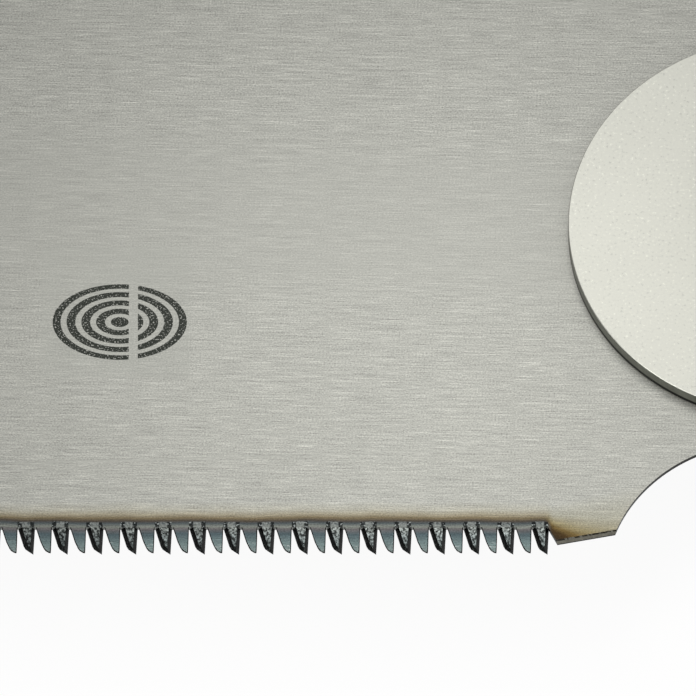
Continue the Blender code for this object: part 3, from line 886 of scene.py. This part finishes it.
def jaw_outline():
    """A round nose about the clamp axis, filleted into a straight neck and tang."""
    sizes = bpy.context.scene.saw_jaw_sizes
    reach = sizes.nose + sizes.fillet
    rise = sizes.neck + sizes.fillet
    run = math.sqrt(reach**2 - rise**2)
    meet = math.degrees(math.atan2(rise, run))
    upper = arc((0.0, 0.0), sizes.nose, 180, meet, 1.5)
    upper.extend(arc((run, rise), sizes.fillet, meet + 180, 270, 3.0)[1:])
    upper.append((TANG_END, sizes.neck))
    return upper + [(x, -y) for x, y in reversed(upper)][:-1]


def from_clamp(points):
    """Points measured from the clamp axis, moved to their place on the saw."""
    return [(x + CLAMP_X, y) for x, y in points]


# Pieces

# Finishes of the blade and of a jaw, by their slots
STEEL, FACET, WALL, BEVEL, TOOTH_FACE, SHADED_SIDE_FACET, ROOT_WALL = range(7)
JAW_FACE, JAW_EDGE, JAW_RIM_SHADED = range(3)

# Least share of a face's normal: for a flat face, a slanted one, one that looks to the handle or to the teeth
FLAT = 0.9
SLANTED = 0.15
TO_HANDLE = 0.3
TO_TEETH = 0.95

# Holes in the jaws, by the piece that passes through
JAW_BORES = {
    "clamp_screw": 2.7 * MM,
    "guide_pin": 2.7 * MM,
    "ferrule_pin": 2.2 * MM,
    "tang_pin_front": 2.2 * MM,
    "tang_pin_rear": 2.2 * MM,
}
BORE_SIDES = 32

# Openings in the handle and the room around what they hold
SLOT_HALF_WIDTH = 9.3 * MM
SLOT_GAP = 0.3 * MM
SLOT_END_GAP = 0.6 * MM
PIN_HOLE = 2.1 * MM
EYE_HOLE = 4.85 * MM
EYE_SIDES = 48
EYE_SEAT_DEPTH = 1.0 * MM
EYE_SEAT_GAP = 0.15 * MM
EYE_SEAT_SIDES = 64
WOOD_ROUND = 0.35 * MM

# Sections along the grip, and the winding of the cane
GRIP_STEPS = 16
BUTT_STEPS = 6
CORNER_STEPS = 9
CANE_SEAT_GAP = 0.2 * MM
CANE_GAP = 0.05 * MM
CANE_SIDES = 20
WINDING_STEPS = 64


def by_slope(normal, flat, slanted, upright):
    """Choose a finish by whether a face lies flat, slants or stands upright."""
    if abs(normal.z) > FLAT:
        return flat
    return slanted if abs(normal.z) > SLANTED else upright


class SawOperator(bpy.types.Operator):
    """What the operators of the saw share."""

    bl_options = {"REGISTER", "UNDO"}


class SAW_OT_blade(SawOperator):
    """Model the blade with its rip teeth, crosscut teeth, heel and tongue"""

    bl_idname = "saw.blade"
    bl_label = "Blade"

    def execute(self, context):
        sizes = blade_sizes()
        toe_root = sizes.heel_root + 2 * sizes.pitch * sizes.tooth_pairs
        crosscut = [(-toe_root, sizes.root_depth), (-sizes.heel_root, sizes.root_depth)]
        slot_end = arc((0.0, 0.0), sizes.slot, -90, -270, 6)
        outline = blade_side(crosscut, -1, toe_root) + slot_end
        outline += list(reversed(blade_side(rip_row(sizes, toe_root), 1, toe_root)))
        plate = traced("blade_plate", from_clamp(outline), BLADE_LOW, BLADE_HIGH)
        surfaces = [
            blade_finish(),
            # Facets: near black, a painted reflection of dark surroundings
            facet_finish("ground_facet_dark_reflection", tuple(colours().facet), 0.3),
            # Edges other than the crosscut roots, near black: a painted reflection of dark surroundings
            edge_finish("blade_wall_dark_reflection", tuple(colours().wall)),
            heel_finish(),
            tooth_face_finish(),
            # Facets looking to the handle: fewer pale chips, so darker, as painted shade
            facet_finish("side_facet_painted_shade", linear(12, 15, 14), 0.1),
            edge_finish("root_wall", linear(150, 152, 148)),
        ]
        self.bevel_heels(plate, sizes)
        dress(plate, surfaces, self.plate_surface)
        row = self.tooth_row(sizes, surfaces)
        row.rotation_euler.z = sizes.flare
        start = edge_point(-toe_root, sizes.root_depth, -1)
        row.location = (start[0] + CLAMP_X, start[1], (BLADE_LOW + BLADE_HIGH) / 2)
        settle(row)
        blade = joined([plate, row], "blade")
        smooth(blade, 20)
        finish_piece(blade, "blade", "blade_steel", "saw_blade")
        return {"FINISHED"}

    def bevel_heels(self, plate, sizes):
        """Break the front edge of both untoothed heels."""
        ends = [edge_point(-sizes.heel_front, sizes.heel_depth, side) for side in (-1, 1)]
        corners = [Vector((*end, BLADE_HIGH)) for end in from_clamp(ends)]

        def on_heel(line):
            """Whether an edge runs back from the front corner of a heel."""
            first, second = (vertex.co for vertex in line.verts)
            level = abs(first.z - second.z) < NEAR
            for corner in corners:
                meets = min((first - corner).length, (second - corner).length) < NEAR
                if meets and level and min(first.x, second.x) > corner.x - NEAR:
                    return True
            return False

        bevel_edges(plate, on_heel, sizes.heel_bevel, False)

    def plate_surface(self, normal, centre):
        """Ground flat faces, the heel's bevel, paler walls at the crosscut roots, and other edges in a
        near-black painted reflection of dark surroundings.
        """
        at_roots = normal.y < -TO_TEETH and centre.x < CLAMP_X - 2 * blade_sizes().heel_root
        return by_slope(normal, STEEL, BEVEL, ROOT_WALL if at_roots else WALL)

    def tooth_surface(self, normal, centre):
        """Flat faces are plain steel, slanted ones are ground facets and upright ones are edges."""
        return by_slope(normal, STEEL, FACET, WALL)

    def front_tooth_surface(self, normal, centre):
        """As for any tooth, with a scuffed front face, and on the side of the handle a facet with fewer pale
        chips, darker as painted shade.
        """
        if normal.z > FLAT:
            return TOOTH_FACE
        if normal.x > TO_HANDLE and normal.z > SLANTED:
            return SHADED_SIDE_FACET
        return self.tooth_surface(normal, centre)

    def tooth_row(self, sizes, surfaces):
        """One tooth ground from behind and one ground from the front, repeated along the edge."""
        behind = self.tooth("tooth_behind", REAR_GROUND_TOOTH, -1)
        dress(behind, surfaces, self.tooth_surface)
        front = self.tooth("tooth_front", FRONT_GROUND_TOOTH, 1)
        dress(front, surfaces, self.front_tooth_surface)
        row = joined([behind, front], "crosscut_teeth")
        apply_modifier(
            row,
            "ARRAY",
            count=sizes.tooth_pairs,
            use_relative_offset=False,
            use_constant_offset=True,
            constant_offset_displace=(2 * sizes.pitch, 0.0, 0.0),
        )
        return row

    def tooth(self, name, profile, side):
        """A block cut down to a tooth's profile, then ground on one side along each cutting edge."""
        thickness = BLADE_HIGH - BLADE_LOW
        points = [Vector((x * MM, -depth * MM, 0.0)) for x, depth, _ in profile]
        deepest = min(point.y for point in points)
        low = (points[0].x, deepest, -thickness / 2)
        high = (points[-1].x, 0.0, thickness / 2)
        item = block(name, low, high)
        for here, ahead, (_, _, grind) in zip(points, points[1:], profile):
            course = ahead - here
            outwards = Vector((course.y, -course.x, 0.0)).normalized()
            slice_off(here, outwards)
            heel = here - Vector((0.0, 0.0, side * thickness / 2))
            slice_off(heel, outwards * thickness + Vector((0.0, 0.0, side * grind * MM)))
            if side < 0:
                burr = here - outwards * EDGE_BREAK + Vector((0.0, 0.0, thickness / 2))
                slice_off(burr, outwards + Vector((0.0, 0.0, EDGE_BREAK_SLOPE)))
        bpy.ops.object.mode_set(mode="OBJECT")
        item.rotation_euler.x = side * blade_sizes().set_angle
        settle(item)
        return item


class SAW_OT_jaws(SawOperator):
    """Model the two stamped jaws and the packing between them"""

    bl_idname = "saw.jaws"
    bl_label = "Jaws"

    def execute(self, context):
        sizes = context.scene.saw_jaw_sizes
        bright = satin_finish("jaw_satin", tuple(colours().jaw), 0.62, 0.16)
        # The jaw's edge gets a painted shadow at its foot, up to the foot's height above the jaw's underside
        edge = edge_finish("jaw_edge", linear(122, 124, 116), JAW_LOW + sizes.foot)
        # The broken rim: the jaw's steel in a darker colour, painted shade that dims its highlight
        rim = satin_finish("jaw_rim_painted_shade", linear(186, 186, 178), 0.42, 0.1)
        spans = {"front_jaw": (JAW_LOW, JAW_HIGH), "rear_jaw": (-JAW_HIGH, -JAW_LOW)}
        for node, (low, high) in spans.items():
            jaw = traced(f"{node}_plate", from_clamp(jaw_outline()), low, high)
            for pin, radius in JAW_BORES.items():
                hole = rod("hole", middle(pin).x, radius, low - MM, high + MM, BORE_SIDES)
                cut_with(jaw, hole)
            break_rim(jaw, high if high > 0 else low, sizes.rim)
            dress(jaw, [bright, edge, rim], self.jaw_surface)
            smooth(jaw, 40)
            finish_piece(jaw, "handle", "jaw_steel", node)
        packing = softened("jaw_packing", 0.08 * MM)
        dress(packing, [satin_finish("packing_steel", linear(176, 176, 170), 0.45, 0.2)])
        finish_piece(packing, "handle", "packing_steel", "jaw_packing")
        return {"FINISHED"}

    def jaw_surface(self, normal, centre):
        """Flat faces are satin, the broken rim is a darker copy of the satin steel whose darkness is painted
        shade that tones down its highlight, and upright faces are sheared.
        """
        return by_slope(normal, JAW_FACE, JAW_RIM_SHADED, JAW_EDGE)


class SAW_OT_fasteners(SawOperator):
    """Model the clamp screw, its washers and nut, the pins and the eyelet"""

    bl_idname = "saw.fasteners"
    bl_label = "Fasteners"

    def execute(self, context):
        zinc = satin_finish("zinc", tuple(colours().zinc), 0.3, 0.14)
        spring = satin_finish("spring_steel", tuple(colours().spring), 0.36, 0.2)
        brass = satin_finish("brass", tuple(colours().brass), 0.48, 0.12)
        pieces = (
            ("clamp_screw", "screw", "plated_steel", zinc, 0.2),
            ("clamp_washer", "washers", "plated_steel", zinc, 0.15),
            ("lock_washer", "washers", "spring_steel", spring, 0.12),
            ("clamp_nut", "handle", "plated_steel", zinc, 0.25),
            ("guide_pin", "handle", "plated_steel", zinc, 0.15),
            ("ferrule_pin", "handle", "plated_steel", zinc, 0.2),
            ("tang_pin_front", "handle", "brass", brass, 0.2),
            ("tang_pin_rear", "handle", "brass", brass, 0.2),
            ("hang_eyelet", "handle", "brass", brass, 0.25),
        )
        for node, body, slot, surface, width in pieces:
            piece = softened(node, width * MM)
            dress(piece, [surface])
            finish_piece(piece, body, slot, node)
        return {"FINISHED"}


class SAW_OT_handle(SawOperator):
    """Model the ferrule, the wooden handle and the cane binding"""

    bl_idname = "saw.handle"
    bl_label = "Handle"

    def execute(self, context):
        sizes = context.scene.saw_handle_sizes
        ferrule = softened("ferrule", 0.3 * MM)
        dress(ferrule, [satin_finish("black_oxide", tuple(colours().oxide), 0.36, 0.25)])
        finish_piece(ferrule, "handle", "ferrule_steel", "ferrule")
        core = self.wood(sizes)
        dress(core, [wood_finish()])
        finish_piece(core, "handle", "handle_wood", "handle_core")
        binding = self.cane(sizes)
        dress(binding, [cane_finish()])
        finish_piece(binding, "handle", "cane", "cane_binding")
        return {"FINISHED"}

    def stations(self, sizes):
        """Place, width and height of the handle's sections from its mouth to its butt."""
        low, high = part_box("handle_core")
        butt = high[0]
        height = high[2] * 2
        seat_rear = self.cane_span()[1]
        inset = 2 * sizes.seat
        seat = (sizes.front - inset, height - inset)
        rows = [(low[0], *seat), (seat_rear, *seat), (seat_rear, sizes.front, height)]
        end = butt - sizes.butt_round
        for step in range(1, GRIP_STEPS + 1):
            at = seat_rear + (end - seat_rear) * step / GRIP_STEPS
            rows.append((at, self.width(sizes, (at - seat_rear) / (butt - seat_rear)), height))
        for step in range(1, BUTT_STEPS + 1):
            angle = math.pi / 2 * step / BUTT_STEPS
            at = end + sizes.butt_round * math.sin(angle)
            inset = 2 * sizes.butt_round * (1 - math.cos(angle))
            width = self.width(sizes, (at - seat_rear) / (butt - seat_rear))
            rows.append((at, width - inset, height - inset))
        return rows

    def width(self, sizes, share):
        """Width of the grip: a slight waist, then a flare to the butt."""
        if share < sizes.waist_at:
            start, end, local = sizes.front, sizes.waist, share / sizes.waist_at
        else:
            start, end, local = sizes.waist, sizes.butt, (share - sizes.waist_at) / (1 - sizes.waist_at)
        return start + (end - start) * (1 - math.cos(math.pi * local)) / 2

    def cane_span(self):
        """Front and rear of the seat that the cane fills."""
        low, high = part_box("cane_binding")
        return low[0] - CANE_SEAT_GAP, high[0] + CANE_SEAT_GAP

    def wood(self, sizes):
        """A rounded section drawn out along the handle, then slotted, drilled and bored."""
        rows = self.stations(sizes)
        mouth, width, height = rows[0]
        start = (mouth, 0.0, 0.0)
        deselect()
        bpy.ops.mesh.primitive_plane_add(size=1.0, location=start, rotation=(0.0, math.pi / 2, 0.0))
        item = begin("handle_wood")
        bpy.ops.transform.resize(value=(1.0, width, height), center_override=start)
        bpy.ops.mesh.bevel(offset=sizes.corner - sizes.seat, segments=CORNER_STEPS, affect="VERTICES")
        for here, ahead in zip(rows, rows[1:]):
            step = (ahead[0] - here[0], 0.0, 0.0)
            bpy.ops.mesh.extrude_region_move(TRANSFORM_OT_translate={"value": step})
            growth = (1.0, ahead[1] / here[1], ahead[2] / here[2])
            bpy.ops.transform.resize(value=growth, center_override=(ahead[0], 0.0, 0.0))
        leave_outwards()
        self.open_wood(item, mouth, height)
        round_edges(item, WOOD_ROUND, 2, 50)
        smooth(item, 40)
        return item

    def open_wood(self, item, mouth, clear):
        """Cut the slot for the tang, the holes for the pins and the eyelet, and the eyelet's seats."""
        half_slot = JAW_HIGH + SLOT_GAP
        low = (mouth - MM, -SLOT_HALF_WIDTH, -half_slot)
        high = (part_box("front_jaw")[1][0] + SLOT_END_GAP, SLOT_HALF_WIDTH, half_slot)
        cut_with(item, block("slot", low, high))
        for pin in ("ferrule_pin", "tang_pin_front", "tang_pin_rear"):
            cut_with(item, rod("pin_hole", middle(pin).x, PIN_HOLE, -clear, clear, BORE_SIDES))
        low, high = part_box("hang_eyelet")
        eye = middle("hang_eyelet").x
        cut_with(item, rod("eye_hole", eye, EYE_HOLE, -clear, clear, EYE_SIDES))
        seat = (high[0] - low[0]) / 2 + EYE_SEAT_GAP
        for side in (-1, 1):
            ends = sorted((side * (high[2] - EYE_SEAT_DEPTH), side * clear))
            cut_with(item, rod("eye_seat", eye, seat, *ends, EYE_SEAT_SIDES))

    def cane(self, sizes):
        """A half-round strip wound as a round spring, then drawn to the handle's section."""
        seat_front, seat_rear = self.cane_span()
        turns = sizes.cane_turns
        pitch = (seat_rear - seat_front - sizes.cane_width) / turns
        reach = sizes.front / 2 - sizes.seat + CANE_GAP
        centre = (seat_front + sizes.cane_width / 2, 0.0, reach)
        deselect()
        bpy.ops.mesh.primitive_circle_add(
            vertices=CANE_SIDES, radius=1.0, location=centre, rotation=(math.pi / 2, 0.0, 0.0)
        )
        item = begin("cane")
        slice_off(centre, (0.0, 0.0, -1.0))
        bpy.ops.mesh.select_all(action="DESELECT")
        drawing = bmesh.from_edit_mesh(item.data)
        for vertex in drawing.verts:
            vertex.select_set(len(vertex.link_edges) == 1)
        bmesh.update_edit_mesh(item.data)
        bpy.ops.mesh.edge_face_add()
        bpy.ops.mesh.select_all(action="SELECT")
        bpy.ops.transform.resize(value=(sizes.cane_width / 2, 1.0, sizes.cane_height), center_override=centre)
        bpy.ops.object.mode_set(mode="OBJECT")
        apply_modifier(
            item,
            "SCREW",
            axis="X",
            angle=math.tau * turns,
            screw_offset=pitch * turns,
            steps=WINDING_STEPS * turns,
            render_steps=WINDING_STEPS * turns,
            use_normal_calculate=True,
        )
        self.draw_to_section(item, sizes, reach)
        edit(item)
        bpy.ops.mesh.remove_doubles(threshold=MERGE_DISTANCE)
        bpy.ops.mesh.fill_holes(sides=0)
        leave_outwards()
        smooth(item, 50)
        return item

    def draw_to_section(self, item, sizes, reach):
        """Move a winding from the circle that it was wound on to the handle's rounded section."""
        corner = sizes.corner - sizes.seat
        flat_y = sizes.front / 2 - sizes.seat - corner
        flat_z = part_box("handle_core")[1][2] - sizes.seat - corner
        bend = corner * math.pi / 2
        for vertex in item.data.vertices:
            x, y, z = vertex.co
            rise = math.hypot(y, z) - reach
            quarter, share = divmod(math.atan2(z, y) % math.tau / (math.pi / 2), 1.0)
            run = share * (flat_y + flat_z + bend)
            first, second = (flat_z, flat_y) if quarter % 2 == 0 else (flat_y, flat_z)
            if run < first:
                spot = (second + corner + rise, run)
            elif run > first + bend:
                spot = (second - (run - first - bend), first + corner + rise)
            else:
                angle = (run - first) / corner
                spot = (second + (corner + rise) * math.cos(angle), first + (corner + rise) * math.sin(angle))
            for _ in range(int(quarter)):
                spot = (-spot[1], spot[0])
            vertex.co = (x, spot[0], spot[1])


# Stage

WHITE = (1.0, 1.0, 1.0)
FLOOR_SIZE = 240.0
FLOOR_GAP = 0.1 * MM
FLOOR_GLOW = 0.9
WORLD_STRENGTH = 0.3

# Area lamps: name, place, size in metres and watts
LAMPS = (
    ("softbox", (CLAMP_X - 0.030, 0.020, 0.090), 0.05, 0.0289),
    ("key", (-0.5, -0.1, 1.1), 0.7, 3.0),
    ("front", (0.5, -0.9, 1.1), 0.8, 6.0),
    ("left", (-0.9, -0.7, 0.55), 0.6, 5.0),
)
LAMP_AIM = Vector((CLAMP_X - 0.022, -0.01, 0.0))

# The picture's width in pixels, by pixels per millimetre
PICTURE_WIDTH = 696 / 11.38 * MM
CAMERA_AIM = Vector((CLAMP_X - 38.385 * MM, -13.36 * MM, BLADE_HIGH))
CAMERA_RISE = math.radians(58.7)
CAMERA_DISTANCE = 2.6
SENSOR_WIDTH = 36.0
NEAREST_SEEN = 0.05
FARTHEST_SEEN = 1000.0


class SAW_OT_stage(SawOperator):
    """Set up the floor, the lights, the world and the camera"""

    bl_idname = "saw.stage"
    bl_label = "Stage"

    def execute(self, context):
        self.floor()
        self.world(context.scene)
        self.lights()
        self.camera(context.scene)
        context.scene.view_settings.view_transform = "Standard"
        return {"FINISHED"}

    def floor(self):
        """A wide floor that looks white and still takes the saw's shadow."""
        deselect()
        bpy.ops.mesh.primitive_plane_add(size=FLOOR_SIZE, location=(0.0, 0.0, FLOOR_HEIGHT - FLOOR_GAP))
        floor = begin("floor")
        bpy.ops.object.mode_set(mode="OBJECT")
        finish = Finish(bpy.data.materials.new("floor"))
        finish.surface(base_color=tuple(colours().floor), roughness=0.9)
        seen = finish.node("ShaderNodeLightPath", output="Is Camera Ray")
        rays = seen.socket.node
        for kind in ("Is Glossy Ray", "Is Transmission Ray"):
            seen = seen.at_least(Wire(finish, rays.outputs[kind]))
        glow = finish.node("ShaderNodeEmission", sockets={"Color": WHITE, "Strength": 1.0})
        matt = Wire(finish, finish.shader.outputs[0])
        blend = finish.node("ShaderNodeMixShader", sockets={0: seen * FLOOR_GLOW, 1: matt, 2: glow})
        finish.feed(finish.tree.nodes["Material Output"].inputs["Surface"], blend)
        dress(floor, [finish.owner])

    def world(self, scene):
        """An even white surround."""
        finish = Finish(bpy.data.worlds.new("studio"), "Background")
        scene.world = finish.surface(color=WHITE, strength=WORLD_STRENGTH)

    def lights(self):
        """Area lamps that look at the heel of the blade."""
        for name, place, size, watts in LAMPS:
            deselect()
            bpy.ops.object.light_add(type="AREA", location=place)
            lamp = bpy.context.object
            lamp.name = name
            lamp.data.size = size
            lamp.data.energy = watts
            lamp.visible_camera = False
            aim = LAMP_AIM - Vector(place)
            lamp.rotation_euler = aim.to_track_quat("-Z", "Y").to_euler()

    def camera(self, scene):
        """A long lens over the heel of the blade, square to the crosscut edge."""
        deselect()
        swing = blade_sizes().flare
        across = math.cos(CAMERA_RISE)
        back = Vector((math.sin(swing) * across, -math.cos(swing) * across, math.sin(CAMERA_RISE)))
        bpy.ops.object.camera_add(location=CAMERA_AIM + CAMERA_DISTANCE * back)
        camera = bpy.context.object
        camera.rotation_euler = (math.pi / 2 - CAMERA_RISE, 0.0, swing)
        camera.data.sensor_width = SENSOR_WIDTH
        camera.data.lens = SENSOR_WIDTH * CAMERA_DISTANCE / PICTURE_WIDTH
        camera.data.clip_start = NEAREST_SEEN
        camera.data.clip_end = FARTHEST_SEEN
        scene.camera = camera


class SAW_PT_panel(bpy.types.Panel):
    """The saw's sizes, colours and operators"""

    bl_idname = "SAW_PT_panel"
    bl_label = "Ryoba saw"
    bl_space_type = "VIEW_3D"
    bl_region_type = "UI"
    bl_category = "Saw"

    def draw(self, context):
        for group in GROUPS:
            values = getattr(context.scene, group)
            box = self.layout.box()
            for name in values.__annotations__:
                box.prop(values, name)
        for kind in OPERATORS:
            self.layout.operator(kind.bl_idname)


GROUPS = {
    "saw_blade_sizes": SawBladeSizes,
    "saw_jaw_sizes": SawJawSizes,
    "saw_handle_sizes": SawHandleSizes,
    "saw_colours": SawColours,
}
OPERATORS = (SAW_OT_blade, SAW_OT_jaws, SAW_OT_fasteners, SAW_OT_handle, SAW_OT_stage)
CLASSES = (*GROUPS.values(), *OPERATORS, SAW_PT_panel)


def register():
    """Make the saw's classes known to Blender."""
    for kind in CLASSES:
        bpy.utils.register_class(kind)
    for name, kind in GROUPS.items():
        setattr(bpy.types.Scene, name, PointerProperty(type=kind))


def unregister():
    """Take the saw's classes out of Blender again."""
    for name in GROUPS:
        delattr(bpy.types.Scene, name)
    for kind in reversed(CLASSES):
        bpy.utils.unregister_class(kind)


def main():
    """Build the saw piece by piece."""
    register()
    bpy.ops.saw.blade()
    bpy.ops.saw.jaws()
    bpy.ops.saw.fasteners()
    bpy.ops.saw.handle()
    bpy.ops.saw.stage()


if __name__ == "__main__":
    main()
